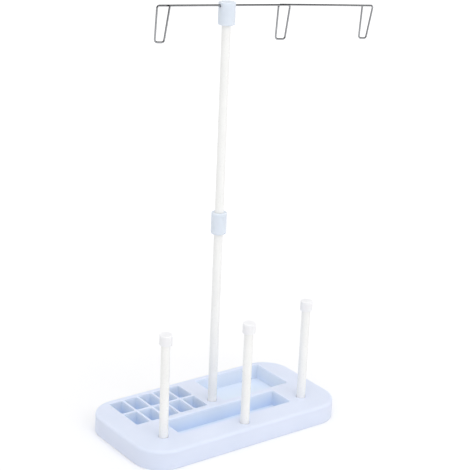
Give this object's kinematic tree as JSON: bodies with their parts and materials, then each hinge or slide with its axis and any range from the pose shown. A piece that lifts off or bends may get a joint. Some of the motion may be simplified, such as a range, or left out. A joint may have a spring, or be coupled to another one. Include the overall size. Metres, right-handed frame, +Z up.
{
  "type": "thread rack",
  "caption": "Table-top thread rack: moulded base with bobbin cells and trays, capped spool pins, and a jointed mast with a swivelling wire thread guide.",
  "frame": {"origin": "on the table, at the foot of the mast, on the underside of the mast's socket", "axes": "+Z up along the mast, +X along the base's long side towards the long wire arm, -Y to the front with the narrow tray"},
  "size_m": [0.3204, 0.132, 0.4533],
  "materials": {
    "blue_plastic": "satin, fine moulded texture",
    "white_plastic": "satin",
    "white_tube": "smooth warm white lacquer",
    "wire": "bright plated"
  },
  "bodies": {
    "base": {"base": "blue_plastic"},
    "lower_mast": {"lower_pole": "white_tube", "joint_sleeve": "blue_plastic"},
    "upper_mast": {"upper_pole": "white_tube"},
    "guide_hub": {"guide_hub": "blue_plastic"},
    "guide_wire": {"guide_wire": "wire"},
    "spool_pin_left": {"spool_pin_left": "white_tube"},
    "spool_cap_left": {"spool_cap_left": "white_plastic"},
    "spool_pin_middle": {"spool_pin_middle": "white_tube"},
    "spool_cap_middle": {"spool_cap_middle": "white_plastic"},
    "spool_pin_right": {"spool_pin_right": "white_tube"},
    "spool_cap_right": {"spool_cap_right": "white_plastic"}
  },
  "joints": [
    {"name": "lower_mast_lift", "type": "slide", "parent": "base", "child": "lower_mast", "axis": [0, 0, 1], "range_m": [0, 0.03]},
    {"name": "upper_mast_lift", "type": "slide", "parent": "lower_mast", "child": "upper_mast", "axis": [0, 0, 1], "range_m": [0, 0.02]},
    {"name": "hub_swivel", "type": "hinge", "parent": "upper_mast", "child": "guide_hub", "pos_m": [0, 0, 0.4358], "axis": [0, 0, 1], "continuous": true},
    {"name": "wire_swing", "type": "hinge", "parent": "guide_hub", "child": "guide_wire", "pos_m": [0, 0, 0.4476], "axis": [0.9982, 0, -0.0593], "continuous": true},
    {"name": "pin_left_lift", "type": "slide", "parent": "base", "child": "spool_pin_left", "axis": [0, 0, 1], "range_m": [0, 0.03]},
    {"name": "cap_left_lift", "type": "slide", "parent": "spool_pin_left", "child": "spool_cap_left", "axis": [0, 0, 1], "range_m": [0, 0.012]},
    {"name": "pin_middle_lift", "type": "slide", "parent": "base", "child": "spool_pin_middle", "axis": [0, 0, 1], "range_m": [0, 0.03]},
    {"name": "cap_middle_lift", "type": "slide", "parent": "spool_pin_middle", "child": "spool_cap_middle", "axis": [0, 0, 1], "range_m": [0, 0.012]},
    {"name": "pin_right_lift", "type": "slide", "parent": "base", "child": "spool_pin_right", "axis": [0, 0, 1], "range_m": [0, 0.03]},
    {"name": "cap_right_lift", "type": "slide", "parent": "spool_pin_right", "child": "spool_cap_right", "axis": [0, 0, 1], "range_m": [0, 0.012]}
  ]
}
